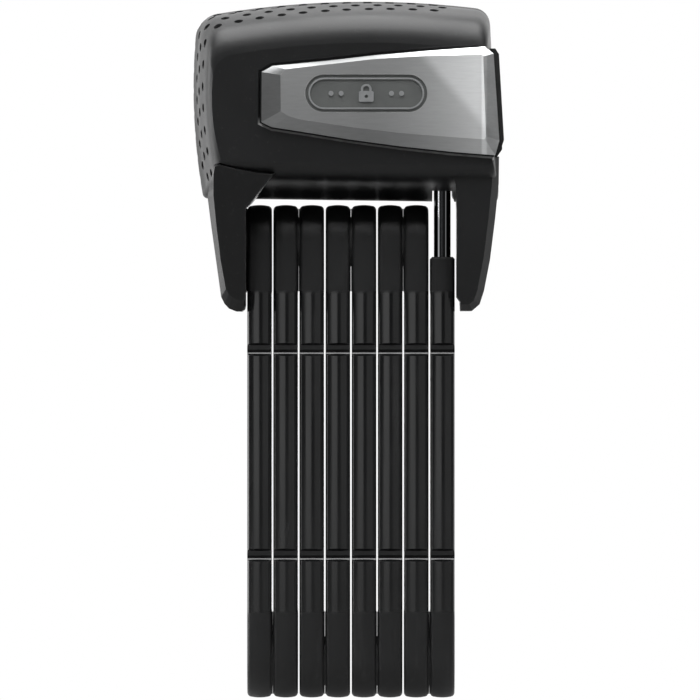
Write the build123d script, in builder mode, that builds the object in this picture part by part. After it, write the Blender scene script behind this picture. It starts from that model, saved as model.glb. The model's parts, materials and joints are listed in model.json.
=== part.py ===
from build123d import *
import math
import os

# A folding link lock, folded up: eight riveted links stand side by side under a housing that
# holds a motor-driven locking pin, a siren and the electronics.
# X runs across the stack of links, Y into the depth (front is -Y), +Z is up. All sizes in mm.
# Origin: on the resting plane under the folded links, centred on the housing.

os.makedirs("parts", exist_ok=True)

# ---------------------------------------------------------------- driving sizes
# Links
LINKS = 8
PITCH = 7.824               # link spacing across X
FIRST_LINK_X = -27.10
LINK_T = 7.34               # covered link thickness (X)
LINK_W = 22.0               # covered link width (Y)
CORE_T = 5.5                # steel core thickness
CORE_W = 18.4               # steel core width
Z_BOT = 11.0                # lower pivot height
Z_TOP = 136.75              # upper pivot height
EYE_R = LINK_W / 2
LAST_LINK_TOP = 132.1       # the last link is cut off here and carries the bolt

# Rivets and washers
RIVET_R = 3.4
BORE_CLEAR = 0.05
HEAD_R = 6.0
HEAD_T = 0.80
WASHER_R = 7.4

# Housing depths (Y)
SHELL_FRONT = -22.0
SPLIT_Y = 14.0              # back of the casing
COVER_Y = SPLIT_Y + 0.9     # front of the rear cover, behind the seal
REAR_Y = 23.5
LEG_FRONT_Y = -19.6         # front of the right leg
BOSS_Y = 4.0                # front end of the casing's screw bosses

# Steel chassis
EAR_X0, EAR_X1 = -36.6, -31.6
RIGHT_EAR_X0, RIGHT_EAR_X1 = 34.5, 37.5
EAR_HALF_W = 10.0
DECK_Z0, DECK_Z1 = 155.0, 158.0
BLOCK_X0, BLOCK_X1 = 20.0, 35.0

# Bolt and locking pin
BOLT_X = FIRST_LINK_X + (LINKS - 1) * PITCH
BOLT_T = 5.0                # X
BOLT_W = 10.0               # Y
BOLT_BASE, BOLT_TOP = 108.0, 168.5
BOLT_PIN_R = 1.25
BOLT_PIN_HEIGHTS = (BOLT_BASE + 6.0, BOLT_BASE + 16.0)
SHAFT_TOP = 169.7           # top of the bolt shaft in chassis and rear cover
PIN_Z = 162.5               # locking pin height
PIN_R = 2.3
PIN_CLEAR = 0.08

# Rack and pinion
MODULE = 1.0
PINION_TEETH = 12
PRESSURE_ANGLE = math.radians(20)
PINION_R = PINION_TEETH * MODULE / 2
RACK_PITCH_Z = 166.5
PINION_Z = RACK_PITCH_Z + PINION_R

# Front trim plate depths (Y) and its slot-shaped inlay
TRIM_SEAT, TRIM_BASE, TRIM_FACE = -21.0, -23.5, -25.2
INLAY_X, INLAY_Z, INLAY_W, INLAY_H = 4.85, 180.7, 36.4, 11.3

# Side port, its flap, the wake button and the status light
HINGE_X, HINGE_Z = 44.5, 164.6
FLAP_Y0, FLAP_Y1 = -16.0, 9.0
FLAP_PIN_Y0, FLAP_PIN_Y1 = -18.0, 11.0
PORT_Y, PORT_Z = -2.0, 180.0
BUTTON_X, LIGHT_X, BUTTON_Z = -20.0, -8.0, 184.0

# ---------------------------------------------------------------- measured outlines
# Housing sections: depth from the front face, then how far the left, top, right and bottom
# sit inside the widest outline
SECTIONS = [
    (0.0, 5.1, 13.0, 2.2, 10.0),
    (0.7, 4.35, 10.1, 1.5, 8.2),
    (2.2, 3.5, 7.2, 1.05, 6.6),
    (5.0, 2.85, 4.7, 0.65, 5.2),
    (9.5, 1.95, 2.9, 0.3, 4.2),
    (14.5, 1.0, 1.55, 0.1, 3.2),
    (20.0, 0.3, 0.65, 0.0, 0.6),
    (26.0, 0.0, 0.0, 0.0, 0.3),
]

# Cavity sections: y, then left, top, right and bottom insets
CAVITY_SECTIONS = [
    (-19.4, 8.2, 15.0, 4.8, 14.0),
    (-13.0, 4.6, 5.2, 3.2, 4.4),
    (-2.0, 2.5, 2.6, 2.4, 4.4),
]
INNER_RADII = (5.0, 3.4, 1.5)   # top left, top right and bottom corners of the inside

# The outlines below are front-view (x, z) points
# right leg
RIGHT_LEG = [
    (31.6, 153.5), (31.95, 146.5), (31.95, 120.1), (32.95, 118.7), (33.05, 115.9),
    (36.4, 115.9), (38.7, 117.9), (40.0, 121.9), (41.8, 131.2), (43.3, 143.2),
    (44.4, 154.0), (44.5, 162.0), (36.0, 162.0), (30.0, 158.0),
]
# left leg
LEFT_LEG = [
    (-40.35, 159.45), (-38.85, 159.95), (-34.4, 158.75), (-27.5, 157.35), (-22.6, 156.9),
    (-29.4, 148.35), (-31.04, 146.85), (-31.02, 121.7), (-31.25, 121.4), (-31.25, 117.7),
    (-31.5, 116.4), (-32.3, 115.75), (-34.0, 115.75), (-36.1, 116.6), (-37.4, 118.0),
    (-38.45, 120.1), (-40.1, 132.0), (-41.5, 142.0), (-42.5, 149.9), (-41.05, 156.7),
]
# front and back faces of the left leg, inside its sloping rim
LEFT_LEG_FACE = [
    (-40.35, 158.8), (-38.85, 159.4), (-34.4, 158.25), (-27.5, 156.95), (-22.9, 156.6),
    (-29.45, 148.35), (-31.06, 146.85), (-31.04, 121.7), (-31.27, 121.4), (-31.27, 119.1),
    (-31.6, 118.8), (-32.5, 118.8), (-33.9, 119.2), (-35.2, 119.9), (-36.2, 120.9),
    (-37.0, 122.4), (-38.6, 131.2), (-39.85, 141.4), (-40.7, 150.2), (-40.7, 156.7),
]
# open gap between the bolt and the right leg
BOLT_GAP = [
    (BOLT_X, 120.0), (31.9, 120.0), (31.9, 142.0), (31.7, 146.5), (31.1, 149.5),
    (30.3, 151.6), (BOLT_X, 151.6),
]
# base and raised face of the trim plate
TRIM_OUTER = [
    (-26.3, 187.1), (-23.1, 188.9), (-7.3, 190.4), (7.6, 192.1), (22.5, 193.35),
    (40.2, 194.65), (42.8, 192.6), (44.5, 166.6), (43.3, 162.3), (29.8, 163.4),
    (14.9, 165.0), (0.0, 167.0), (-14.8, 169.4), (-23.3, 170.7), (-26.4, 172.2),
]
TRIM_INNER = [
    (-20.7, 186.2), (-19.2, 187.9), (-7.0, 189.3), (7.5, 190.95), (22.5, 191.85),
    (39.2, 192.3), (39.7, 191.7), (40.5, 168.0), (40.2, 167.0), (29.6, 167.7),
    (14.8, 168.9), (0.0, 170.7), (-14.6, 172.9), (-18.3, 173.9), (-20.6, 175.3),
]
# charging flap, and the lugs that hold it
FLAP = [(41.0, 194.3), (43.4, 194.3), (44.5, 192.6), (46.0, 167.0), (45.35, 165.0), (42.4, 165.0)]
LUG = [(42.5, 161.6), (43.7, 161.6), (45.4, 164.1), (45.4, 165.4), (44.3, 167.0), (42.5, 167.0)]

# Screw bosses of the rear cover (x, z)
BOSSES = [(-40.9, 166.0), (-40.4, 198.4), (38.2, 200.0), (39.6, 158.6)]
BOSS_R = 3.1


# ---------------------------------------------------------------- basic shapes
def link_x(i):
    return FIRST_LINK_X + (i - 1) * PITCH


def front_plane(y):
    """Front-view plane at depth y: its normal points to the front (-Y)."""
    return Plane.XZ.offset(-y)


def back_plane(x, y, z):
    """Plane at (x, y, z) whose normal points to the back (+Y)."""
    return Plane(origin=(x, y, z), x_dir=(1, 0, 0), z_dir=(0, 1, 0))


def side_plane(x, y, z):
    """Plane at (x, y, z) whose normal points to the right (+X)."""
    return Plane(origin=(x, y, z), x_dir=(0, 1, 0), z_dir=(1, 0, 0))


def prism(points, y_front, y_back, grow=0.0):
    """Front-view outline, grown or shrunk if asked, from y_front to y_back."""
    with BuildPart() as solid:
        with BuildSketch(front_plane(y_back)):
            with BuildLine():
                Polyline(*points, close=True)
            make_face()
            if grow:
                offset(amount=grow, kind=Kind.INTERSECTION)
        extrude(amount=y_back - y_front)
    return solid.part


def bevel(*stations):
    """Ruled loft through front-view outlines, each given as (y, points, grow)."""
    with BuildPart() as solid:
        for y, points, grow in stations:
            with BuildSketch(front_plane(y)):
                with BuildLine():
                    Polyline(*points, close=True)
                make_face()
                if grow:
                    offset(amount=grow, kind=Kind.INTERSECTION)
        loft(ruled=True)
    return solid.part


def block(x0, x1, y0, y1, z0, z1):
    with BuildPart() as solid:
        with Locations(((x0 + x1) / 2, (y0 + y1) / 2, (z0 + z1) / 2)):
            Box(x1 - x0, y1 - y0, z1 - z0)
    return solid.part


def rod(plane, radius, length):
    with BuildPart() as solid:
        with BuildSketch(plane):
            Circle(radius)
        extrude(amount=length)
    return solid.part


def rod_x(x0, x1, y, z, radius):
    return rod(side_plane(x0, y, z), radius, x1 - x0)


def rod_y(y0, y1, x, z, radius):
    return rod(back_plane(x, y0, z), radius, y1 - y0)


def port_slot(x0, x1, width, height):
    """Round-ended bar along X at the charging port."""
    with BuildPart() as solid:
        with BuildSketch(side_plane(x0, PORT_Y, PORT_Z)):
            SlotOverall(width, height)
        extrude(amount=x1 - x0)
    return solid.part


def left_leg_clearance(depth):
    """Room for the left leg, reaching forward by depth from just behind it."""
    back = 16.2
    return prism(LEFT_LEG, back - depth, back, grow=0.12)


# ---------------------------------------------------------------- housing
def outline(y, left, top, right, bottom, r_top_left=7.0, r_top_right=5.0, r_bottom=1.6):
    """One closed section of the housing at depth y, drawn in by the four insets."""
    bottom_left = (-43.4 + left, 150.4 + bottom)
    top_left = (-45.2 + left, 204.3 - top)
    top_right = (41.8 - right, 206.4 - top)
    bottom_right = (44.6 - right, 149.2 + bottom)
    rounding = (
        (top_left, r_top_left), (top_right, r_top_right),
        (bottom_left, r_bottom), (bottom_right, r_bottom),
    )
    with BuildSketch(front_plane(y)) as section:
        with BuildLine():
            ThreePointArc(bottom_left, (-46.3 + left, 178.0), top_left)
            ThreePointArc(top_left, (0.0, 208.8 - top), top_right)
            Line(top_right, bottom_right)
            Line(bottom_right, bottom_left)
        make_face()
        for corner, radius in rounding:
            fillet(section.vertices().sort_by_distance((corner[0], corner[1], 0))[0], radius)
    return section.sketch


def outer_housing():
    """Solid outer form of the housing in front of the split."""
    with BuildPart() as solid:
        for depth, *insets in SECTIONS:
            add(outline(SHELL_FRONT + depth, *insets))
        loft()
        depth, *insets = SECTIONS[-1]
        widest_y = SHELL_FRONT + depth
        extrude(outline(widest_y, *insets), amount=-(SPLIT_Y - widest_y))
    return solid.part


def housing_cavity():
    with BuildPart() as solid:
        for y, *insets in CAVITY_SECTIONS:
            add(outline(y, *insets, *INNER_RADII))
        loft(ruled=True)
        y, *insets = CAVITY_SECTIONS[-1]
        extrude(outline(y, *insets, *INNER_RADII), amount=-(SPLIT_Y - y))
    return solid.part


housing = outer_housing()

# Sound holes: rows run up the left side, round the corner and along the top
HOLE_D = 2.7
HOLE_STEP = 6.5
HOLE_START_OUT = 2.0        # the cutters start this far outside the surface
HOLE_ROW_DEPTHS = (7.5, 13.1, 18.7, 24.3, 29.9)
HOLE_ROW_END_X = 29.0
ROW_SAMPLES = 900


def insets_at(depth):
    """Housing insets at a depth, interpolated between the sections."""
    for near, far in zip(SECTIONS, SECTIONS[1:]):
        if near[0] <= depth <= far[0]:
            share = (depth - near[0]) / (far[0] - near[0])
            return [a + share * (b - a) for a, b in zip(near[1:], far[1:])]
    return SECTIONS[-1][1:]


def row_points(depth, start):
    """(x, z, outward x, outward z) at even steps along the left side and top."""
    wire = outline(SHELL_FRONT + depth, *insets_at(depth)).faces()[0].outer_wire()
    n = ROW_SAMPLES
    samples = [wire.position_at(k / n) for k in range(n)]
    low_left = min(
        range(n),
        key=lambda k: abs(samples[k].Z - 155.0) + (0 if samples[k].X < -35 else 100),
    )
    path = [samples[(low_left + k) % n] for k in range(n)]
    if path[20].Z < path[0].Z:      # the wire runs downwards here, so walk it backwards
        path = [samples[(low_left - k) % n] for k in range(n)]
    points = []
    run, next_hole = 0.0, start
    for a, b in zip(path, path[1:]):
        step = math.dist((a.X, a.Z), (b.X, b.Z))
        run += step
        if run >= next_hole:
            if b.X > HOLE_ROW_END_X:
                break
            points.append((b.X, b.Z, -(b.Z - a.Z) / step, (b.X - a.X) / step))
            next_hole += HOLE_STEP
    return points


def sound_hole_cutters():
    cutters = []
    for row, depth in enumerate(HOLE_ROW_DEPTHS):
        length = 8.0 if row < 3 else 5.2
        start = 0.9 if row % 2 else 4.6
        for x, z, out_x, out_z in row_points(depth, start):
            # the front rows drift backwards towards the right
            drift = 4.5 * max(0.0, (x + 38.0) / 66.0) * (1 - row / 4)
            origin = (
                x + HOLE_START_OUT * out_x,
                SHELL_FRONT + depth + drift,
                z + HOLE_START_OUT * out_z,
            )
            axis = Plane(origin=origin, z_dir=(-out_x, 0, -out_z))
            cutters.append(Solid.make_cylinder(HOLE_D / 2, length, axis))
    return cutters


def front_casing():
    """Casing with the right leg."""
    cavity = housing_cavity()
    trim_seat_y = TRIM_SEAT + 0.05
    with BuildPart() as casing:
        add(housing)
        add(prism(RIGHT_LEG, LEG_FRONT_Y, SPLIT_Y))
        # outer edges of the leg, front then back
        for y, z_limit in ((LEG_FRONT_Y, 152), (SPLIT_Y, 147)):
            leg_edges = casing.edges().filter_by(
                lambda e: abs(e.center().Y - y) < 0.01
                and e.center().Z < z_limit
                and e.center().X > 33.5
            )
            chamfer(leg_edges, 2.0)
        add(cavity, mode=Mode.SUBTRACT)
        # screw bosses, kept only behind BOSS_Y
        for x, z in BOSSES:
            add(rod_y(BOSS_Y, SPLIT_Y, x, z, BOSS_R))
        add(cavity.intersect(block(-60, 60, -30, BOSS_Y, 100, 260)), mode=Mode.SUBTRACT)
        for x, z in BOSSES:
            add(rod_y(BOSS_Y + 1, SPLIT_Y + 1, x, z, 1.25), mode=Mode.SUBTRACT)
        # seat of the trim plate, with a flared edge
        add(prism(TRIM_OUTER, trim_seat_y - 8, trim_seat_y, grow=0.45), mode=Mode.SUBTRACT)
        flare = bevel((SHELL_FRONT + 0.75, TRIM_OUTER, 0.45), (SHELL_FRONT - 0.25, TRIM_OUTER, 1.35))
        add(flare, mode=Mode.SUBTRACT)
        add(left_leg_clearance(60), mode=Mode.SUBTRACT)
        # way in for the bolt, and the pocket of the right steel ear
        add(block(BOLT_X - 3.0, BOLT_X + 3.0, -5.5, SPLIT_Y + 1, 140, 172), mode=Mode.SUBTRACT)
        add(prism(BOLT_GAP, -30, SPLIT_Y + 1), mode=Mode.SUBTRACT)
        add(block(34.3, 37.9, -10.3, 10.3, 123.0, 160.0), mode=Mode.SUBTRACT)
        # charging window
        window = block(40.0, 48.0, PORT_Y - 4.8, PORT_Y + 4.8, PORT_Z - 1.9, PORT_Z + 1.9)
        add(window, mode=Mode.SUBTRACT)
        # flap lugs, room for the flap's knuckle and the pin bore
        for y0, y1 in ((-18.8, -16.9), (9.9, 11.8)):
            add(prism(LUG, y0, y1))
        add(rod_y(FLAP_Y0 - 0.25, FLAP_Y1 + 0.25, HINGE_X, HINGE_Z, 1.15), mode=Mode.SUBTRACT)
        add(rod_y(FLAP_PIN_Y0, FLAP_PIN_Y1, HINGE_X, HINGE_Z, 0.55), mode=Mode.SUBTRACT)
    with BuildPart() as perforated:
        add(casing.part.cut(*sound_hole_cutters()))
    return perforated.part


def rear_cover():
    with BuildPart() as cover:
        # (y, inset): the back edge is rounded off in steps
        for y, inset in ((COVER_Y, 0.0), (COVER_Y + 4.6, 0.35), (COVER_Y + 7.0, 1.5), (REAR_Y, 3.4)):
            add(outline(y, inset, inset, inset, inset + 0.3))
        loft(ruled=True)
        inside = outline(COVER_Y, 2.8, 2.8, 2.8, 3.2, *INNER_RADII)
        extrude(inside, amount=-5.4, mode=Mode.SUBTRACT)
        for x, z in BOSSES:
            add(rod_y(COVER_Y, REAR_Y - 1.9, x, z, BOSS_R).intersect(
                block(-60, 60, COVER_Y, REAR_Y - 1.5, 100, 260)))
        # screw holes and counterbores
        for x, z in BOSSES:
            add(rod_y(COVER_Y - 1, REAR_Y + 1, x, z, 1.45), mode=Mode.SUBTRACT)
            add(rod_y(REAR_Y - 2.1, REAR_Y + 1, x, z, 2.75), mode=Mode.SUBTRACT)
        shaft = block(BOLT_X - 3.0, BOLT_X + 3.0, COVER_Y - 1, REAR_Y + 1, 140, SHAFT_TOP)
        add(shaft, mode=Mode.SUBTRACT)
        add(prism(BOLT_GAP, COVER_Y - 1, REAR_Y + 1), mode=Mode.SUBTRACT)
        # wake button and status light
        for x, radius in ((BUTTON_X, 5.3), (LIGHT_X, 1.5)):
            add(rod_y(COVER_Y - 1, REAR_Y + 1, x, BUTTON_Z, radius), mode=Mode.SUBTRACT)
        add(left_leg_clearance(8), mode=Mode.SUBTRACT)
    return cover.part


def cover_seal():
    """Thin ring between the casing and the rear cover."""
    seal_y, seal_t = SPLIT_Y + 0.05, 0.8
    with BuildPart() as seal:
        ring_outer = outline(seal_y, 0.35, 0.35, 0.35, 0.65)
        ring_inner = outline(seal_y, 1.9, 1.9, 1.9, 2.3, 5.4, 3.6, 1.5)
        extrude(ring_outer, amount=-seal_t)
        extrude(ring_inner, amount=-seal_t, mode=Mode.SUBTRACT)
        add(left_leg_clearance(8), mode=Mode.SUBTRACT)
        add(block(BOLT_X - 3.0, BOLT_X + 3.0, 10, 20, 140, 170), mode=Mode.SUBTRACT)
        add(prism(BOLT_GAP, 10, 20), mode=Mode.SUBTRACT)
    return seal.part


def cover_screws():
    """Hex socket screws, one per boss."""
    head_y0, head_y1 = REAR_Y - 2.05, REAR_Y - 0.45
    with BuildPart() as screws:
        for x, z in BOSSES:
            add(rod_y(head_y0, head_y1, x, z, 2.6))
            with BuildSketch(back_plane(x, head_y1, z)):
                RegularPolygon(1.25, 6)
            extrude(amount=-1.0, mode=Mode.SUBTRACT)
            add(rod_y(head_y0 - 11.0, head_y0, x, z, 1.2))
    return screws.part


# ---------------------------------------------------------------- front trim
def trim_plate():
    """Raised plate with sloping rim, hollow behind, with a recess for the inlay."""
    with BuildPart() as plate:
        add(bevel((TRIM_BASE, TRIM_OUTER, 0), (TRIM_FACE, TRIM_INNER, 0)))
        add(prism(TRIM_OUTER, TRIM_BASE, TRIM_SEAT))
        add(prism(TRIM_INNER, TRIM_FACE + 1.7, TRIM_SEAT, grow=-1.2), mode=Mode.SUBTRACT)
        with BuildSketch(front_plane(TRIM_FACE)):
            with Locations((INLAY_X, INLAY_Z)):
                SlotOverall(INLAY_W, INLAY_H)
        extrude(amount=-0.8, mode=Mode.SUBTRACT)
    return plate.part


def status_inlay():
    """Inlay with a raised ring, a padlock sign and status dots."""
    inlay_back = TRIM_FACE + 0.75
    inlay_t, relief_t = 0.3, 0.35
    relief_y = TRIM_FACE + 0.45
    with BuildPart() as inlay:
        with BuildSketch(front_plane(inlay_back)):
            with Locations((INLAY_X, INLAY_Z)):
                SlotOverall(INLAY_W - 0.2, INLAY_H - 0.2)
        extrude(amount=inlay_t)
        # ring
        with BuildSketch(front_plane(relief_y)):
            with Locations((INLAY_X, INLAY_Z)):
                SlotOverall(INLAY_W - 1.9, INLAY_H - 1.9)
                SlotOverall(INLAY_W - 2.9, INLAY_H - 2.9, mode=Mode.SUBTRACT)
        extrude(amount=relief_t)
        # padlock shackle, padlock body with keyhole, then the dots
        with BuildSketch(front_plane(relief_y)):
            with Locations((INLAY_X, INLAY_Z + 0.7)):
                RectangleRounded(3.2, 4.2, 1.55)
                RectangleRounded(1.8, 3.0, 0.85, mode=Mode.SUBTRACT)
            with Locations((INLAY_X, INLAY_Z - 0.9)):
                RectangleRounded(4.4, 3.2, 0.5)
                Circle(0.5, mode=Mode.SUBTRACT)
            with Locations(*[(INLAY_X + dx, INLAY_Z) for dx in (-10.5, -7.5, 7.5, 10.5)]):
                Circle(0.75)
        extrude(amount=relief_t)
    return inlay.part


# ---------------------------------------------------------------- left leg
def pivot_housing():
    """Left leg with sloping rims front and back, hollow for the left steel ear."""
    with BuildPart() as leg:
        add(prism(LEFT_LEG, -20.6, 14.0))
        for rim_y, face_y in ((-20.6, -22.6), (14.0, 16.0)):
            add(bevel((rim_y, LEFT_LEG, 0), (face_y, LEFT_LEG_FACE, 0)))
        add(block(-37.7, -31.0, -10.5, 10.5, 124.5, 165.0), mode=Mode.SUBTRACT)
        add(block(-37.7, -16.0, -10.5, 10.5, 154.7, 162.1), mode=Mode.SUBTRACT)
    return leg.part


# ---------------------------------------------------------------- locking mechanism
def lock_chassis():
    """Steel deck, two ears and the bolt block."""
    w = EAR_HALF_W
    right_ear_z = 124.0
    with BuildPart() as chassis:
        add(block(EAR_X0, RIGHT_EAR_X1, -w, w, DECK_Z0, DECK_Z1))
        add(block(BLOCK_X0, BLOCK_X1, -9.0, 9.0, DECK_Z0, 173.5))
        add(block(RIGHT_EAR_X0, RIGHT_EAR_X1, -w, w, right_ear_z, DECK_Z1))
        add(block(EAR_X0, EAR_X1, -w, w, Z_TOP, DECK_Z1))
        add(rod_x(EAR_X0, EAR_X1, 0, Z_TOP, w))
        ear_edges = chassis.edges().filter_by(Axis.X).filter_by(
            lambda e: abs(e.center().Z - right_ear_z) < 0.01)
        chamfer(ear_edges, 4.0)
        # rivet bore, bolt shaft and pin bore
        bore_r = RIVET_R + BORE_CLEAR
        add(rod_x(EAR_X0 - 1, EAR_X1 + 1, 0, Z_TOP, bore_r), mode=Mode.SUBTRACT)
        shaft = block(BOLT_X - 2.8, BOLT_X + 2.8, -5.3, 12.0, 150.0, SHAFT_TOP)
        add(shaft, mode=Mode.SUBTRACT)
        pin_bore = rod_x(BLOCK_X0 - 1, BLOCK_X1 - 1.5, 0, PIN_Z, PIN_R + PIN_CLEAR)
        add(pin_bore, mode=Mode.SUBTRACT)
        # screw holes in the deck
        for x in (-26.0, 8.5):
            for y in (-7.0, 7.0):
                with Locations((x, y, (DECK_Z0 + DECK_Z1) / 2)):
                    Cylinder(1.3, 6.0, mode=Mode.SUBTRACT)
    return chassis.part


def locking_slider():
    """Locking pin with a five-tooth rack on top."""
    half_w = 2.5
    tooth_pitch = math.pi * MODULE
    half_tooth = tooth_pitch / 4 - 0.07     # at the pitch line
    tip, root = 0.65, 1.0                   # tooth height above and below the pitch line
    slope = math.tan(PRESSURE_ANGLE)
    with BuildPart() as slider:
        add(rod_x(-26.0, 24.3, 0, PIN_Z, PIN_R))
        add(block(-13.0, 5.0, -half_w, half_w, PIN_Z, RACK_PITCH_Z - 0.95))
        for k in range(-4, 1):
            x = (k + 0.5) * tooth_pitch
            tooth = [
                (x - half_tooth - root * slope, RACK_PITCH_Z - root),
                (x - half_tooth + tip * slope, RACK_PITCH_Z + tip),
                (x + half_tooth - tip * slope, RACK_PITCH_Z + tip),
                (x + half_tooth + root * slope, RACK_PITCH_Z - root),
            ]
            add(prism(tooth, -half_w, half_w))
    return slider.part


def slider_guide():
    """Base plate with two upright bearings for the locking pin."""
    x0, x1, half_w, bearing_top = -19.0, 17.0, 4.5, PIN_Z + 4.0
    base = DECK_Z1 + 0.03
    with BuildPart() as guide:
        add(block(x0, x1, -half_w, half_w, base, DECK_Z1 + 1.5))
        add(block(x0, -15.5, -half_w, half_w, base, bearing_top))
        add(block(13.6, x1, -half_w, half_w, base, bearing_top))
        add(rod_x(x0 - 1, x1 + 1, 0, PIN_Z, PIN_R + PIN_CLEAR), mode=Mode.SUBTRACT)
    return guide.part


def locking_bolt():
    """Flat round-edged bolt on the last link, with holes for the locking pin and its pins."""
    with BuildPart() as bolt:
        with BuildSketch(Plane.XY.offset(BOLT_BASE + 0.05)):
            with Locations((BOLT_X, 0)):
                SlotOverall(BOLT_W, BOLT_T, rotation=90)
        extrude(amount=BOLT_TOP - BOLT_BASE - 0.05)
        chamfer(bolt.faces().sort_by(Axis.Z)[-1].edges(), 0.9)
        add(rod_x(BOLT_X - 4, BOLT_X + 4, 0, PIN_Z, PIN_R + 0.3), mode=Mode.SUBTRACT)
        for z in BOLT_PIN_HEIGHTS:
            add(rod_y(-12, 12, BOLT_X, z, BOLT_PIN_R + 0.03), mode=Mode.SUBTRACT)
    return bolt.part


def bolt_pins():
    """Cross pins through the last link's core and the bolt."""
    half_length = CORE_W / 2 - 0.2
    with BuildPart() as pins:
        for z in BOLT_PIN_HEIGHTS:
            add(rod_y(-half_length, half_length, BOLT_X, z, BOLT_PIN_R))
    return pins.part


# ---------------------------------------------------------------- motor drive
def gear_outline(teeth, module, backlash, addendum, dedendum):
    """Involute gear outline with one tooth pointing down -Y of the sketch."""
    pitch_r = teeth * module / 2
    base_r = pitch_r * math.cos(PRESSURE_ANGLE)
    tip_r = pitch_r + addendum
    root_r = pitch_r - dedendum
    flank_r = max(base_r, root_r)
    half_angle = math.pi / (2 * teeth) - backlash / (2 * pitch_r)

    def involute(angle):
        return math.tan(angle) - angle

    # (radius, half angle of the tooth) from root to tip
    flank = []
    for j in range(6):
        r = flank_r + (tip_r - flank_r) * j / 5
        flank.append((r, half_angle + involute(PRESSURE_ANGLE) - involute(math.acos(base_r / r))))
    flank.insert(0, (root_r, flank[0][1]))

    points = []
    for n in range(teeth):
        mid = -math.pi / 2 + 2 * math.pi * n / teeth
        points += [(r * math.cos(mid - w), r * math.sin(mid - w)) for r, w in flank]
        points += [(r * math.cos(mid + w), r * math.sin(mid + w)) for r, w in reversed(flank)]
    return points


def drive_pinion():
    """Pinion on its shaft, over the rack."""
    half_w = 2.3
    teeth = gear_outline(PINION_TEETH, MODULE, backlash=0.10, addendum=0.75, dedendum=1.0)
    with BuildPart() as pinion:
        with BuildSketch(Plane(origin=(0, half_w, PINION_Z), x_dir=(1, 0, 0), z_dir=(0, -1, 0))):
            with BuildLine():
                Polyline(*teeth, close=True)
            make_face()
        extrude(amount=2 * half_w)
        add(rod_y(-3.4, 8.0, 0, PINION_Z, 1.0))
    return pinion.part


def gear_motor():
    """Motor can with front collar, shaft bore and a tab at the back."""
    with BuildPart() as motor:
        add(rod_y(4.6, 13.2, 0, PINION_Z, 6.2))
        add(rod_y(3.4, 4.7, 0, PINION_Z, 2.9))
        add(rod_y(3.0, 8.4, 0, PINION_Z, 1.05), mode=Mode.SUBTRACT)
        add(block(-3.2, 3.2, 13.1, 13.9, PINION_Z - 1.0, PINION_Z + 1.0))
    return motor.part


def motor_bracket():
    """Upright plate with a foot on the deck."""
    half_l = 9.0
    with BuildPart() as bracket:
        add(block(-half_l, half_l, 3.1, 4.5, DECK_Z1 + 1.6, PINION_Z + 7.0))
        add(block(-half_l, half_l, 4.6, 8.9, DECK_Z1 + 0.05, DECK_Z1 + 1.6))
        # corner strips joining plate and foot
        add(block(-half_l, half_l, 3.1, 4.6, DECK_Z1 + 1.55, DECK_Z1 + 3.0))
        add(block(-half_l, half_l, 4.5, 5.4, DECK_Z1 + 0.8, DECK_Z1 + 3.0))
        add(rod_y(2.0, 6.0, 0, PINION_Z, 3.0), mode=Mode.SUBTRACT)
    return bracket.part


# ---------------------------------------------------------------- electronics
# Parts on the board: left x, lower z, width, height, thickness
CHIPS = [
    (-24, 170, 9, 9, 1.2), (-10, 168, 6, 6, 1.0), (2, 172, 8, 5, 1.1), (-22, 184, 6, 4, 1.4),
    (-8, 182, 4, 8, 0.9), (8, 184, 7, 5, 1.5), (-2, 187, 3, 3, 1.0),
]


def circuit_board():
    """Upright board with its parts on the back."""
    back = -13.6
    with BuildPart() as board:
        add(block(-30.0, 22.0, -15.0, back, 164.0, 194.0))
        for x, z, width, height, thickness in CHIPS:
            add(block(x, x + width, back - 0.05, back + thickness, z, z + height))
    return board.part


def battery_cell():
    """Round cell along X with a contact on its right end."""
    x0, x1, y, z = -12.0, 29.0, 4.0, 190.5
    with BuildPart() as cell:
        add(rod_x(x0, x1, y, z, 7.0))
        chamfer(cell.edges().filter_by(GeomType.CIRCLE), 0.8)
        add(rod_x(x1, x1 + 1.0, y, z, 2.4))
    return cell.part


def siren():
    """Disc facing left, with a smaller step and a round opening."""
    y, z = 1.0, 181.5
    with BuildPart() as disc:
        add(rod_x(-37.6, -33.2, y, z, 12.6))
        add(rod_x(-39.0, -37.5, y, z, 11.4))
        add(rod_x(-40.0, -38.2, y, z, 4.0), mode=Mode.SUBTRACT)
    return disc.part


def acoustic_mesh():
    """Thin sheet inside the left wall."""
    with BuildPart() as mesh:
        add(block(-41.7, -41.3, -8.0, 12.0, 170.5, 194.0))
    return mesh.part


def charging_socket():
    """Round-ended shell with a tongue inside, open to the right."""
    with BuildPart() as socket:
        add(port_slot(33.0, 41.6, 9.0, 3.3))
        add(port_slot(35.0, 43.0, 8.3, 2.6), mode=Mode.SUBTRACT)
        add(block(34.5, 40.0, PORT_Y - 3.0, PORT_Y + 3.0, PORT_Z - 0.35, PORT_Z + 0.35))
    return socket.part


def charging_flap():
    """Side flap fitted to the housing wall, with hinge knuckle and a plug on its inner face."""
    with BuildPart() as flap:
        add(prism(FLAP, FLAP_Y0, FLAP_Y1))
        add(housing.moved(Location((0.12, 0, 0))), mode=Mode.SUBTRACT)
        add(rod_y(FLAP_Y0, FLAP_Y1, HINGE_X, HINGE_Z, 0.95))
        add(rod_y(FLAP_Y0 - 1, FLAP_Y1 + 1, HINGE_X, HINGE_Z, 0.6), mode=Mode.SUBTRACT)
        add(port_slot(43.0, 44.6, 9.1, 3.3))
    return flap.part


def flap_pin():
    with BuildPart() as pin:
        add(rod_y(FLAP_PIN_Y0, FLAP_PIN_Y1, HINGE_X, HINGE_Z, 0.5))
    return pin.part


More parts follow.
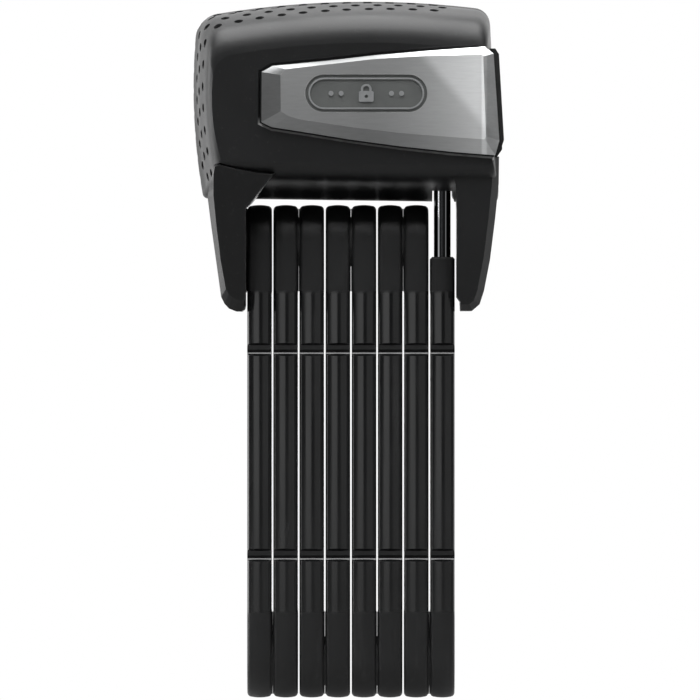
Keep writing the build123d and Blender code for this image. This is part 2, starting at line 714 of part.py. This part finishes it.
def wake_button():
    """Button on the back, with a flange inside the cover."""
    with BuildPart() as button:
        add(rod_y(16.6, REAR_Y + 0.9, BUTTON_X, BUTTON_Z, 5.1))
        chamfer(button.faces().sort_by(Axis.Y)[-1].edges(), 0.7)
        add(rod_y(18.8, 19.8, BUTTON_X, BUTTON_Z, 6.3))
    return button.part


def button_dome():
    """Thin conical dome in front of the button."""
    outside = ((14.2, 4.4), (15.3, 2.2))    # (y, radius)
    inside = ((14.1, 4.1), (15.0, 2.0))
    with BuildPart() as dome:
        for stations, mode in ((outside, Mode.ADD), (inside, Mode.SUBTRACT)):
            for y, radius in stations:
                with BuildSketch(back_plane(BUTTON_X, y, BUTTON_Z)):
                    Circle(radius)
            loft(mode=mode)
    return dome.part


def status_light():
    """Light rod with a flange inside the cover."""
    with BuildPart() as light:
        add(rod_y(16.0, REAR_Y - 0.1, LIGHT_X, BUTTON_Z, 1.4))
        add(rod_y(18.9, 20.2, LIGHT_X, BUTTON_Z, 2.4))
    return light.part


# ---------------------------------------------------------------- links
GROOVE_HEIGHTS = (42.9, 104.4)   # cross grooves scooped into the front and back edges
GROOVE_R, GROOVE_OFFSET = 2.06, 0.66
CROWN = 0.55                     # how far the cover's edge bulges at mid thickness
COVER_FILLET = 1.3
MATE_LIFT = 0.19                 # how far the hinge ends stand proud on their mating side


def hinge_ends(i):
    """Riveted ends of link i: pivot height, side of its neighbour (+1 right, -1 left) and
    direction along Z to the other end."""
    bottom_side = 1 if i % 2 else -1
    ends = [(Z_BOT, bottom_side, 1)]
    if i < LINKS:
        ends.insert(0, (Z_TOP, -bottom_side, -1))
    return ends


def round_ended_plate(x, thickness, width, z0=Z_BOT, z1=Z_TOP):
    """Upright plate centred on x, its round ends centred on z0 and z1."""
    with BuildPart() as plate:
        with BuildSketch(Plane.YZ.offset(x - thickness / 2)):
            with Locations((0, (z0 + z1) / 2)):
                SlotCenterToCenter(z1 - z0, width, rotation=90)
        extrude(amount=thickness)
    return plate.part


def cover_body(x):
    """Solid link cover: crowned edges with rounded corners, swept round both ends."""
    half_t, edge_y = LINK_T / 2, EYE_R - CROWN
    with BuildPart() as body:
        with BuildSketch(Plane.XY.offset(Z_BOT)) as section:
            with BuildLine():
                ThreePointArc((x - half_t, edge_y), (x, EYE_R), (x + half_t, edge_y))
                Line((x + half_t, edge_y), (x + half_t, -edge_y))
                ThreePointArc((x + half_t, -edge_y), (x, -EYE_R), (x - half_t, -edge_y))
                Line((x - half_t, -edge_y), (x - half_t, edge_y))
            make_face()
            fillet(section.vertices(), COVER_FILLET)
        extrude(amount=Z_TOP - Z_BOT)
        for z in (Z_BOT, Z_TOP):
            with BuildSketch(Plane.XY.offset(z)) as half:
                with BuildLine():
                    ThreePointArc((x - half_t, edge_y), (x, EYE_R), (x + half_t, edge_y))
                    Line((x + half_t, edge_y), (x + half_t, 0))
                    Line((x + half_t, 0), (x - half_t, 0))
                    Line((x - half_t, 0), (x - half_t, edge_y))
                make_face()
                fillet([v for v in half.vertices() if v.Y > 1], COVER_FILLET)
            revolve(axis=Axis((x, 0, z), (1, 0, 0)), revolution_arc=360)
    return body.part


def link_core(i):
    """Steel core; the last one is cut off and slotted for the bolt."""
    x = link_x(i)
    bore_r = RIVET_R + BORE_CLEAR
    with BuildPart() as core:
        add(round_ended_plate(x, CORE_T, CORE_W))
        if i == LINKS:
            half_slot = BOLT_W / 2 + 0.06
            add(block(x - 5, x + 5, -20, 20, LAST_LINK_TOP - 1.2, 160), mode=Mode.SUBTRACT)
            add(block(x - 5, x + 5, -half_slot, half_slot, BOLT_BASE, 160), mode=Mode.SUBTRACT)
            for z in BOLT_PIN_HEIGHTS:
                add(rod_y(-12, 12, x, z, BOLT_PIN_R + 0.03), mode=Mode.SUBTRACT)
        else:
            add(rod_x(x - 5, x + 5, 0, Z_TOP, bore_r), mode=Mode.SUBTRACT)
        add(rod_x(x - 5, x + 5, 0, Z_BOT, bore_r), mode=Mode.SUBTRACT)
        left, right = core.faces().sort_by(Axis.X)[0], core.faces().sort_by(Axis.X)[-1]
        chamfer(left.outer_wire().edges() + right.outer_wire().edges(), 0.5)
    return core.part


def link_sleeve(i):
    """Cover round the core; the last one is open at the top for the bolt."""
    x = link_x(i)
    last = i == LINKS
    with BuildPart() as sleeve:
        add(cover_body(x))
        if last:
            add(block(x - 6, x + 6, -20, 20, LAST_LINK_TOP, 170), mode=Mode.SUBTRACT)
            chamfer(sleeve.faces().sort_by(Axis.Z)[-1].edges(), 0.6)
        # raised pads on the mating sides: an eye with a tapering tail
        for z, side, inward in hinge_ends(i):
            tail_z = z + inward * 14.9
            with BuildSketch(Plane.YZ.offset(x + side * (LINK_T / 2 - 0.3))):
                with Locations((0, z)):
                    Circle(EYE_R - 1.1)
                with BuildLine():
                    Polyline((-9.6, z), (-6.4, tail_z), (6.4, tail_z), (9.6, z), close=True)
                make_face()
            extrude(amount=side * (0.3 + MATE_LIFT))
        for z in GROOVE_HEIGHTS:
            for side in (-1, 1):
                groove = rod_x(x - 6, x + 6, side * (EYE_R + GROOVE_OFFSET), z, GROOVE_R)
                add(groove, mode=Mode.SUBTRACT)
        # room for the core, and for the bolt
        pocket = round_ended_plate(x, CORE_T + 0.06, CORE_W + 0.12)
        if last:
            pocket = pocket.intersect(block(x - 6, x + 6, -20, 20, -10, LAST_LINK_TOP - 1.15))
        add(pocket, mode=Mode.SUBTRACT)
        if last:
            bolt_slot = round_ended_plate(x, BOLT_T + 0.1, BOLT_W + 0.1, 120, 150)
            add(bolt_slot, mode=Mode.SUBTRACT)
        # washer opening on the mating side, rivet head opening on the other
        for z, side, _ in hinge_ends(i):
            for direction, radius in ((side, WASHER_R), (-side, HEAD_R)):
                x0, x1 = sorted((x, x + 6 * direction))
                add(rod_x(x0, x1, 0, z, radius + 0.15), mode=Mode.SUBTRACT)
    return sleeve.part


# ---------------------------------------------------------------- rivets and bearing washers
# Joint i lies between links i and i + 1; joint 0 ties link 1 to the left ear.
def joint_z(i):
    return Z_BOT if i % 2 else Z_TOP


def rivet(i):
    left = link_x(i) - CORE_T / 2 if i else EAR_X0
    right = link_x(i + 1) + CORE_T / 2
    z = joint_z(i)
    with BuildPart() as pin:
        add(rod_x(left - 0.05, right + 0.05, 0, z, RIVET_R))
        add(rod_x(left - HEAD_T, left - 0.03, 0, z, HEAD_R))
        add(rod_x(right + 0.03, right + HEAD_T, 0, z, HEAD_R))
        ends = pin.faces().sort_by(Axis.X)
        chamfer(ends[0].edges() + ends[-1].edges(), 0.5)
    return pin.part


def washer(i):
    left = link_x(i) + CORE_T / 2 if i else EAR_X1
    right = link_x(i + 1) - CORE_T / 2
    z = joint_z(i)
    with BuildPart() as ring:
        add(rod_x(left + 0.03, right - 0.03, 0, z, WASHER_R))
        add(rod_x(left - 1, right + 1, 0, z, RIVET_R + 0.1), mode=Mode.SUBTRACT)
    return ring.part


# ---------------------------------------------------------------- build and save
def save(part, name):
    part.label = name
    export_step(part, f"parts/{name}.step")


SINGLE_PIECES = (
    trim_plate, status_inlay, pivot_housing, front_casing, rear_cover, cover_seal, cover_screws,
    lock_chassis, locking_slider, slider_guide, drive_pinion, gear_motor, motor_bracket,
    circuit_board, battery_cell, siren, acoustic_mesh, charging_socket, charging_flap, flap_pin,
    wake_button, button_dome, status_light, locking_bolt, bolt_pins,
)

for make_piece in SINGLE_PIECES:
    save(make_piece(), make_piece.__name__)

for i in range(1, LINKS + 1):
    save(link_core(i), f"link_{i}_core")
    save(link_sleeve(i), f"link_{i}_sleeve")

for i in range(LINKS):
    joint = f"{i}_{i + 1}" if i else "base"
    save(rivet(i), f"rivet_{joint}")
    save(washer(i), f"washer_{joint}")
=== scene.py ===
"""Looks and studio for a black-cased product with a silver plate, a bolt and a hinged link sleeve.

X runs left to right, Z is up, and the front faces -Y, where the camera stands. All materials are
procedural and use object coordinates.
"""
import json
import math

import bmesh
import bpy
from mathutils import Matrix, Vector


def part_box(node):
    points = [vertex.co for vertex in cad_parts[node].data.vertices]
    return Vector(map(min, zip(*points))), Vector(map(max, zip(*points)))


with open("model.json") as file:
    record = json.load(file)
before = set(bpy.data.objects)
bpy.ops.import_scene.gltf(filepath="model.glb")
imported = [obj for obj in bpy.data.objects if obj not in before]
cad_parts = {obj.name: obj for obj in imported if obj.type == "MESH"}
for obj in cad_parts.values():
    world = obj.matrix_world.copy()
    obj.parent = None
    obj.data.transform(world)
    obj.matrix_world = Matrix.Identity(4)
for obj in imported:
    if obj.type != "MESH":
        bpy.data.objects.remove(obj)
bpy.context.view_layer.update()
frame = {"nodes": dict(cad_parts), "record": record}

NODES = frame["nodes"]
SLOTS = {part["node"]: part["material_slot"] for part in frame["record"]["subparts"]}
scene = bpy.context.scene

RISE = (0.0, 1.0)
FALL = (1.0, 0.0)


# ---------------------------------------------------------------- shader graph
class Graph:
    """Adds shader nodes to a material and joins them; values may be sockets or constants."""

    def __init__(self, material):
        self.material = material
        self.tree = material.node_tree
        self.coord = self.add("ShaderNodeTexCoord").outputs["Object"]

    def add(self, kind):
        return self.tree.nodes.new(kind)

    def find(self, kind):
        return next(node for node in self.tree.nodes if node.type == kind)

    def put(self, node, key, value):
        socket = node.inputs[key]
        if isinstance(value, bpy.types.NodeSocket):
            self.tree.links.new(value, socket)
        else:
            socket.default_value = value

    def operate(self, operation, a, b=0.0, clamp=False):
        node = self.add("ShaderNodeMath")
        node.operation = operation
        node.use_clamp = clamp
        self.put(node, 0, a)
        self.put(node, 1, b)
        return node.outputs[0]

    def plus(self, a, b, clamp=False):
        return self.operate("ADD", a, b, clamp)

    def minus(self, a, b, clamp=False):
        return self.operate("SUBTRACT", a, b, clamp)

    def times(self, a, b, clamp=False):
        return self.operate("MULTIPLY", a, b, clamp)

    def distance(self, a, b):
        return self.operate("ABSOLUTE", self.minus(a, b))

    def vary(self, base, noise, amount):
        """The base value, moved up and down by a noise centred on 0.5."""
        return self.plus(base, self.times(self.minus(noise, 0.5), amount))

    def noise(self, scale, detail=4.0, rough=0.55, stretch=(1, 1, 1)):
        mapping = self.add("ShaderNodeMapping")
        self.put(mapping, "Vector", self.coord)
        self.put(mapping, "Scale", stretch)
        node = self.add("ShaderNodeTexNoise")
        self.put(node, "Vector", mapping.outputs[0])
        self.put(node, "Scale", scale)
        self.put(node, "Detail", detail)
        self.put(node, "Roughness", rough)
        return node.outputs["Fac"]

    def remap(self, value, span, to=RISE, smooth=False):
        """Carry the range span onto the range to, held at both ends."""
        node = self.add("ShaderNodeMapRange")
        if smooth:
            node.interpolation_type = "SMOOTHSTEP"
        self.put(node, "Value", value)
        self.put(node, "From Min", span[0])
        self.put(node, "From Max", span[1])
        self.put(node, "To Min", to[0])
        self.put(node, "To Max", to[1])
        return node.outputs[0]

    def mix(self, factor, under, over):
        node = self.add("ShaderNodeMix")
        node.data_type = "RGBA"
        # sockets 6 and 7 are the two colours
        self.put(node, 0, factor)
        self.put(node, 6, under)
        self.put(node, 7, over)
        return node.outputs[2]

    def axis(self, index):
        node = self.add("ShaderNodeSeparateXYZ")
        self.put(node, 0, self.coord)
        return node.outputs[index]

    def edge(self, radius, amount):
        """White where the surface turns within radius, broken up by noise."""
        bevel = self.add("ShaderNodeBevel")
        bevel.samples = 4
        self.put(bevel, "Radius", radius)
        geometry = self.add("ShaderNodeNewGeometry")
        dot = self.add("ShaderNodeVectorMath")
        dot.operation = "DOT_PRODUCT"
        self.put(dot, 0, bevel.outputs[0])
        self.put(dot, 1, geometry.outputs["Normal"])
        turn = self.remap(dot.outputs["Value"], span=(0.995, 0.90))
        chips = self.noise(scale=420.0, detail=5.0, rough=0.65)
        chips = self.remap(chips, span=(0.42, 0.62), to=(0.15, 1.0))
        return self.times(self.times(turn, chips), amount, clamp=True)

    def bump(self, height, distance, strength):
        node = self.add("ShaderNodeBump")
        self.put(node, "Height", height)
        self.put(node, "Distance", distance)
        self.put(node, "Strength", strength)
        return node.outputs[0]

    def surface(self, **inputs):
        """Finish with a Principled shader; underscores stand for spaces in input names."""
        shader = self.add("ShaderNodeBsdfPrincipled")
        for key, value in inputs.items():
            self.put(shader, key.replace("_", " "), value)
        output = self.add("ShaderNodeOutputMaterial")
        self.put(output, "Surface", shader.outputs[0])
        self.material.diffuse_color = (0.2, 0.2, 0.2, 1)
        return self.material

    def overpaint(self, factor, color):
        """Lay a colour over the finished base colour and return the shader."""
        shader = self.find("BSDF_PRINCIPLED")
        old = shader.inputs["Base Color"].links[0].from_socket
        self.put(shader, "Base Color", self.mix(factor, old, color))
        return shader


def new_graph(name):
    material = bpy.data.materials.new(name)
    material.use_nodes = True
    material.node_tree.nodes.clear()
    return Graph(material)


def grey(level):
    return (level, level, level, 1.0)


def rgb(red, green, blue):
    return (red, green, blue, 1.0)


def shade(color, factor, lift=0.0):
    return tuple(min(1.0, c * factor + lift) for c in color[:3]) + (1.0,)


# ---------------------------------------------------------------- general materials
def plastic(name, base, rough, grain=2600.0, depth=0.00004, spread=0.10, edge_lightening=0.35,
            edge_color=None, specular=0.5):
    """Grained plastic: grain is the noise scale, depth its relief, and the edge colour the colour
    its lightened edges take.
    """
    g = new_graph(name)
    patches = g.noise(scale=38.0, detail=3.0)
    fine = g.noise(scale=grain, detail=3.0, rough=0.6)
    specks = g.noise(scale=700.0, detail=6.0, rough=0.7)
    dust = g.remap(specks, span=(0.60, 0.78), to=(0.0, 0.5))
    edge = g.edge(radius=0.0006, amount=edge_lightening)

    mottle = g.remap(patches, span=(0.35, 0.65))
    color = g.mix(mottle, shade(base, factor=0.82), shade(base, factor=1.18))
    color = g.mix(edge, color, edge_color or shade(base, factor=2.6, lift=0.03))
    color = g.mix(g.times(dust, 0.10), color, grey(0.35))

    roughness = g.remap(patches, span=(0.3, 0.7), to=(rough - spread, rough + spread))
    roughness = g.vary(roughness, fine, amount=0.12)
    return g.surface(
        Base_Color=color,
        Roughness=g.minus(roughness, g.times(edge, 0.1)),
        Specular_IOR_Level=specular,
        Coat_Weight=0.0,
        Coat_Roughness=0.12,
        Normal=g.bump(fine, distance=depth, strength=0.7),
    )


def metal(name, base, rough, brushed=(1, 1, 1), depth=0.00002, edge_lightening=0.5, spread=0.06):
    """Metal with fine lines; a small factor in brushed draws them out along that axis."""
    g = new_graph(name)
    lines = g.noise(scale=900.0, rough=0.6, stretch=brushed)
    patches = g.noise(scale=55.0)
    edge = g.edge(radius=0.0005, amount=edge_lightening)

    mottle = g.remap(patches, span=(0.3, 0.7))
    color = g.mix(mottle, shade(base, factor=0.86), shade(base, factor=1.1))
    dark_lines = g.times(g.minus(lines, 0.35, clamp=True), 0.5)
    color = g.mix(dark_lines, color, shade(base, factor=0.7))
    color = g.mix(edge, color, shade(base, factor=1.3, lift=0.12))

    roughness = g.remap(patches, span=(0.3, 0.7), to=(rough - spread, rough + spread))
    return g.surface(
        Base_Color=color,
        Metallic=1.0,
        Roughness=g.vary(roughness, lines, amount=0.14),
        Normal=g.bump(lines, distance=depth, strength=0.5),
    )


# ---------------------------------------------------------------- materials of single pieces
def sleeve_material():
    """Glossy shank between two matte ends."""
    # heights over which the lower and upper ends pass into the shank
    lower_end = (0.0245, 0.0268)
    upper_end = (0.1208, 0.1231)

    g = new_graph("sleeve_cover")
    z = g.axis(2)
    above = g.remap(z, span=lower_end, smooth=True)
    below = g.remap(z, span=upper_end, to=FALL, smooth=True)
    shank = g.times(above, below)
    fine = g.noise(scale=3000.0, detail=3.0, rough=0.6)
    streaks = g.noise(scale=260.0, rough=0.6, stretch=(1, 1, 0.12))
    patches = g.noise(scale=40.0, detail=3.0)
    edge = g.edge(radius=0.0005, amount=0.25)

    mottle = g.remap(patches, span=(0.35, 0.65))
    color = g.mix(mottle, rgb(0.006, 0.0062, 0.0066), rgb(0.009, 0.0093, 0.0098))
    pale_streaks = g.times(g.remap(streaks, span=(0.58, 0.74)), 0.22)
    color = g.mix(pale_streaks, color, grey(0.05))
    color = g.mix(edge, color, grey(0.07))

    matte = g.vary(0.50, fine, amount=0.2)
    gloss = g.vary(0.12, streaks, amount=0.22)
    roughness = g.plus(g.times(shank, gloss), g.times(g.minus(1.0, shank), matte))
    # the grain is nearly flat on the shank
    relief = g.times(fine, g.remap(shank, span=(0.0, 1.0), to=(1.0, 0.15)))
    return g.surface(
        Base_Color=color,
        Roughness=roughness,
        Specular_IOR_Level=0.5,
        Normal=g.bump(relief, distance=0.00004, strength=0.6),
    )


def trim_material():
    """Satin plate, finely grained, with painted reflections: bright to the right of a slanting
    line, darker to its left, and a painted highlight along an upright line near its right side.
    """
    base_tone = 0.225
    # the upright bright line is a painted highlight on the plate's rounded right edge
    rim_highlight_inset = 0.0045  # from the plate's right side to an upright bright line
    tint = (0.985, 1.0, 1.005)

    lo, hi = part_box("trim_plate")
    g = new_graph("silver_plate")
    across = g.remap(g.axis(0), span=(lo[0], hi[0]))
    up = g.remap(g.axis(2), span=(lo[2], hi[2]))
    # the slanting, swelling, left and upper regions below are painted reflections
    slant = g.plus(across, g.times(up, 0.40))
    right = g.remap(slant, span=(1.01, 1.08), smooth=True)
    reflection_swell = g.remap(across, span=(0.40, 0.90))
    reflection_swell = g.times(reflection_swell, reflection_swell)
    left = g.remap(across, span=(0.0, 0.62), to=FALL, smooth=True)
    upper_reflection = g.remap(up, span=(0.15, 0.9))
    rim_highlight = g.distance(g.axis(0), hi[0] - rim_highlight_inset)
    rim_highlight = g.remap(rim_highlight, span=(0.0004, 0.0011), to=FALL, smooth=True)

    # each region adds its own share of painted reflection brightness, and the rim adds a painted
    # highlight
    tone = g.plus(base_tone, g.plus(g.times(left, 0.03), g.times(upper_reflection, 0.04)))
    tone = g.plus(tone, g.plus(g.times(reflection_swell, 0.30), g.times(right, 0.20)))
    tone = g.plus(tone, g.times(rim_highlight, 0.25))
    lines = g.noise(scale=1500.0, rough=0.6, stretch=(0.12, 1, 1))
    patches = g.noise(scale=60.0)
    tone = g.times(tone, g.remap(lines, span=(0.3, 0.7), to=(0.95, 1.05)))
    tone = g.times(tone, g.remap(patches, span=(0.3, 0.7), to=(0.97, 1.03)))
    edge = g.edge(radius=0.0004, amount=0.35)
    color = g.add("ShaderNodeCombineXYZ")
    for channel, factor in enumerate(tint):
        g.put(color, channel, g.times(tone, factor))

    roughness = g.remap(patches, span=(0.3, 0.7), to=(0.34, 0.40))
    return g.surface(
        Base_Color=g.mix(edge, color.outputs[0], grey(0.75)),
        Metallic=1.0,
        Roughness=g.vary(roughness, lines, amount=0.10),
        Normal=g.bump(lines, distance=0.000003, strength=0.4),
    )


def badge_material():
    """Dark inlay, paler and part metallic where its relief stands forward."""
    relief_depths = (0.00008, 0.00022)  # behind the foremost face

    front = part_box("status_inlay")[0][1]
    g = new_graph("badge_inlay")
    raised = g.remap(g.axis(1), span=[front + depth for depth in relief_depths], to=FALL)
    fine = g.noise(scale=1800.0, rough=0.6)
    patches = g.noise(scale=90.0, detail=3.0)
    mottle = g.remap(patches, span=(0.3, 0.7))
    dark = g.mix(mottle, rgb(0.100, 0.105, 0.103), rgb(0.130, 0.136, 0.133))
    pale = g.mix(fine, rgb(0.30, 0.31, 0.315), rgb(0.38, 0.39, 0.395))
    return g.surface(
        Base_Color=g.mix(raised, dark, pale),
        Roughness=g.remap(fine, span=(0.3, 0.7), to=(0.38, 0.50)),
        Metallic=g.times(raised, 0.5),
        Normal=g.bump(fine, distance=0.00001, strength=0.5),
    )


def casing_material():
    """Black casing plastic with a painted highlight on the lip around the foot of the plate."""
    g = Graph(plastic("shell_black_pla", rgb(0.0055, 0.0058, 0.0063), rough=0.43, spread=0.05,
                      edge_lightening=0.22, edge_color=grey(0.03), specular=0.42))
    plate_left, _, plate_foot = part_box("trim_plate")[0]
    casing_lo, casing_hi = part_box("front_casing")
    left, front, top = casing_lo[0], casing_lo[1], casing_hi[2]
    x, y, z = g.axis(0), g.axis(1), g.axis(2)

    # the painted lip highlight is a thin layer behind the casing's front, bounded below, above and
    # on the left
    lip_highlight = g.times(
        g.remap(y, span=(front + 0.00004, front + 0.00008)),
        g.remap(y, span=(front + 0.00065, front + 0.00075), to=FALL),
    )
    lip_highlight = g.times(lip_highlight, g.remap(z, span=(plate_foot - 0.0016, plate_foot - 0.0013)))
    lip_highlight = g.times(lip_highlight, g.remap(z, span=(plate_foot + 0.0095, plate_foot + 0.0115), to=FALL))
    lip_highlight = g.times(lip_highlight, g.remap(x, span=(plate_left - 0.0022, plate_left - 0.0018)))
    lip_highlight = g.times(lip_highlight, g.remap(g.noise(scale=300.0), span=(0.35, 0.65), to=(0.8, 1.0)))
    # painted highlight: the lip is lightened to grey where light would catch it
    shader = g.overpaint(lip_highlight, grey(0.34))

    # shinier along the top, duller down the left side
    side = g.remap(x, span=(left + 0.0035, left + 0.0052), to=(0.31, 0.42), smooth=True)
    crown = g.remap(z, span=(top - 0.0062, top - 0.0042), to=(0.0, 0.22), smooth=True)
    g.put(shader, "Specular IOR Level", g.plus(side, crown))
    return g.material


def bolt_material():
    """Dark polished bolt with a painted highlight as an upright bright line on each side of its
    middle; the lines also glow.
    """
    # place from the middle, fade range of the distance, and peak of each painted highlight line
    left_highlight = (-0.0011, (0.00010, 0.00030), 1.0)
    right_highlight = (0.0010, (0.00005, 0.00025), 0.35)

    lo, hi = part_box("locking_bolt")
    middle = (lo[0] + hi[0]) / 2
    g = Graph(metal("bolt_steel_met", rgb(0.050, 0.052, 0.055), rough=0.26,
                    brushed=(1, 1, 0.06), depth=0.000004, spread=0.02, edge_lightening=0.15))
    x = g.axis(0)
    streaks = g.noise(scale=240.0, detail=3.0, rough=0.5, stretch=(1, 1, 0.1))
    streaks = g.remap(streaks, span=(0.3, 0.7), to=(0.8, 1.0))
    lines = []
    for offset, fade, peak in (left_highlight, right_highlight):
        away = g.distance(x, middle + offset)
        line = g.remap(away, span=fade, to=(peak, 0.0), smooth=True)
        lines.append(g.times(line, streaks))
    both = g.plus(*lines, clamp=True)
    # the two painted highlight lines are laid over the colour and made to glow, though the bolt is
    # no lamp
    shader = g.overpaint(both, grey(0.75))
    g.put(shader, "Emission Color", rgb(0.95, 0.97, 1.0))
    g.put(shader, "Emission Strength", g.times(both, 0.42))
    return g.material


MATERIALS = {
    "shell_black": casing_material(),
    "silver_trim": trim_material(),
    "badge_gloss": badge_material(),
    "link_sleeve": sleeve_material(),
    "hardened_steel": metal("hardened_steel_met", rgb(0.16, 0.16, 0.165), rough=0.36,
                            brushed=(1, 1, 0.08)),
    "bolt_steel": bolt_material(),
    "rivet_steel": metal("rivet_steel_met", rgb(0.16, 0.16, 0.165), rough=0.34),
    "bearing_plastic": plastic("bearing_pla", grey(0.02), rough=0.5),
    "flap_rubber": plastic("flap_rubber_pla", grey(0.012), rough=0.62, grain=3200.0,
                           depth=0.00006, edge_lightening=0.1),
    "screw_steel": metal("screw_steel_met", grey(0.45), rough=0.28),
    "gear_brass": metal("gear_brass_met", rgb(0.60, 0.44, 0.18), rough=0.3),
    "motor_can": metal("motor_can_met", grey(0.5), rough=0.32, brushed=(1, 0.1, 1)),
    "board_green": plastic("board_green_pla", rgb(0.012, 0.10, 0.04), rough=0.35, grain=900.0),
    "board_black": plastic("board_black_pla", grey(0.02), rough=0.45),
    "battery_wrap": plastic("battery_wrap_pla", rgb(0.015, 0.07, 0.22), rough=0.28,
                            grain=500.0, depth=0.00003),
    "mesh_cloth": plastic("mesh_cloth_pla", grey(0.03), rough=0.85, grain=5200.0, depth=0.0001),
    "light_guide": plastic("light_guide_pla", rgb(0.62, 0.65, 0.66), rough=0.25, grain=900.0,
                           depth=0.00001),
}
# the leg cover's edges are lightened more than the casing's: wear, and also a painted highlight
# along its top edge
leg_plastic = plastic("leg_cover_pla", rgb(0.0016, 0.0018, 0.0021), rough=0.33, spread=0.04,
                      edge_lightening=0.5, edge_color=grey(0.06), specular=0.42)

for name, node in NODES.items():
    material = leg_plastic if name == "pivot_housing" else MATERIALS[SLOTS[name]]
    if node.material_slots:
        for slot in node.material_slots:
            slot.material = material
    else:
        node.data.materials.append(material)


# ---------------------------------------------------------------- backdrop
def paper_material():
    """White paper that lights the object but is clear to the camera.

    Pieces below the floor or behind the backdrop stay in view against the even white world.
    """
    g = new_graph("studio_paper")
    mottle = g.remap(g.noise(scale=3.0, detail=2.0), span=(0.3, 0.7))
    color = g.mix(mottle, grey(0.80), grey(0.86))
    glow = g.remap(g.axis(1), span=(-0.06, 0.10), to=(0.06, 1.0), smooth=True)
    seen = g.add("ShaderNodeLightPath").outputs["Is Camera Ray"]
    material = g.surface(
        Base_Color=color,
        Roughness=g.remap(g.noise(scale=60.0), span=(0.3, 0.7), to=(0.75, 0.9)),
        Emission_Color=grey(1.0),
        Emission_Strength=glow,
    )
    output = g.find("OUTPUT_MATERIAL")
    solid = output.inputs["Surface"].links[0].from_socket
    both = g.add("ShaderNodeMixShader")
    g.put(both, 0, seen)
    g.put(both, 1, solid)
    g.put(both, 2, g.add("ShaderNodeBsdfTransparent").outputs[0])
    g.put(output, "Surface", both.outputs[0])
    return material


def build_sweep():
    """Pale floor that curves up into the backdrop."""
    columns = (-6.0, -2.0, 0.0, 2.0, 6.0)
    front, bend_start, top = -6.0, 1.2, 5.0
    radius, steps = 0.9, 16
    drop = 0.0006  # keeps the floor just below the resting plane

    profile = [(front, 0.0)]
    for i in range(steps + 1):
        angle = math.pi / 2 * i / steps
        profile.append((bend_start + radius * math.sin(angle), radius - radius * math.cos(angle)))
    profile.append((bend_start + radius, top))

    bm = bmesh.new()
    rows = [[bm.verts.new((x, y, z - drop)) for x in columns] for y, z in profile]
    for low, high in zip(rows, rows[1:]):
        for k in range(len(columns) - 1):
            bm.faces.new((low[k], low[k + 1], high[k + 1], high[k]))
    mesh = bpy.data.meshes.new("studio_sweep")
    bm.to_mesh(mesh)
    bm.free()
    for polygon in mesh.polygons:
        polygon.use_smooth = True
    sweep = bpy.data.objects.new("studio_sweep", mesh)
    scene.collection.objects.link(sweep)
    mesh.materials.append(paper_material())


build_sweep()


# ---------------------------------------------------------------- lights
def area(name, location, target, width, height, radiance):
    """Rectangular light hidden from the camera; its power follows from radiance and size."""
    data = bpy.data.lights.new(name, "AREA")
    data.shape = "RECTANGLE"
    data.size = width
    data.size_y = height
    data.energy = radiance * math.pi * width * height
    light = bpy.data.objects.new(name, data)
    scene.collection.objects.link(light)
    light.location = location
    light.visible_camera = False
    light.rotation_mode = "QUATERNION"
    aim = Vector(target) - Vector(location)
    light.rotation_quaternion = aim.to_track_quat("-Z", "Y")
    return light


def panel(name, bearing, spread, distance, z, height, radiance):
    """Upright panel around the object; bearing 0 is the camera's side, positive is right."""
    angle = math.radians(bearing)
    width = 2 * distance * math.tan(math.radians(spread) / 2)
    location = (distance * math.sin(angle), -distance * math.cos(angle), z)
    return area(name, location, (0, 0, z), width, height, radiance)


def only_on(light, label, names):
    """Let the light reach the named nodes and nothing else."""
    receivers = bpy.data.collections.new(label)
    for name in names:
        receivers.objects.link(NODES[name])
    light.light_linking.receiver_collection = receivers


# name, bearing and angular width in degrees, distance, centre height, panel height, radiance,
# the one node it lights (None for everything)
PANELS = [
    ("sheen_left", -9.5, 15.0, 2.2, 0.11, 0.5, 1.15, None),
    ("sheen_right", 17.0, 19.0, 2.2, 0.11, 0.5, 0.40, None),
    ("line_left", -54.0, 2.4, 1.5, 0.2, 1.2, 5.5, "locking_bolt"),
    ("line_right", 47.0, 1.8, 1.5, 0.2, 1.2, 2.6, "locking_bolt"),
    ("side_left", -92.0, 36.0, 0.9, 0.22, 0.9, 5.0, None),
    ("side_right", 97.0, 36.0, 0.9, 0.25, 0.9, 0.7, None),
    ("plate_fill", 5.0, 24.0, 2.2, 0.25, 0.8, 1.1, "trim_plate"),
]

# the overhead key skips the floor, which stays plain
key = area("key_top", location=(0.0, -0.17, 0.85), target=(0, -0.17, 0.16),
           width=1.0, height=0.84, radiance=6.4)
only_on(key, "lit_by_key", NODES)
for name, *placing, receiver in PANELS:
    light = panel(name, *placing)
    if receiver:
        only_on(light, "lit_by_" + name, [receiver])


# ---------------------------------------------------------------- world and camera
def build_world():
    """White to the camera, dim as a light source."""
    world = bpy.data.worlds.new("studio_world")
    scene.world = world
    world.use_nodes = True
    tree = world.node_tree
    background = tree.nodes["Background"]
    background.inputs["Color"].default_value = (1.0, 1.0, 1.0, 1)
    path = tree.nodes.new("ShaderNodeLightPath")
    level = tree.nodes.new("ShaderNodeMapRange")
    level.inputs["To Min"].default_value = 0.06
    level.inputs["To Max"].default_value = 1.0
    tree.links.new(path.outputs["Is Camera Ray"], level.inputs["Value"])
    tree.links.new(level.outputs[0], background.inputs["Strength"])


def build_camera():
    """Long lens, level, looking along +Y."""
    data = bpy.data.cameras.new("camera")
    data.type = "PERSP"
    data.sensor_width = 36.0
    data.lens = 600.0
    data.clip_start = 0.05
    data.clip_end = 60.0
    camera = bpy.data.objects.new("camera", data)
    scene.collection.objects.link(camera)
    camera.location = (0.0, -3.5, 0.10425)
    camera.rotation_euler = (math.radians(90), 0, 0)
    scene.camera = camera


build_world()
build_camera()
scene.view_settings.view_transform = "Standard"
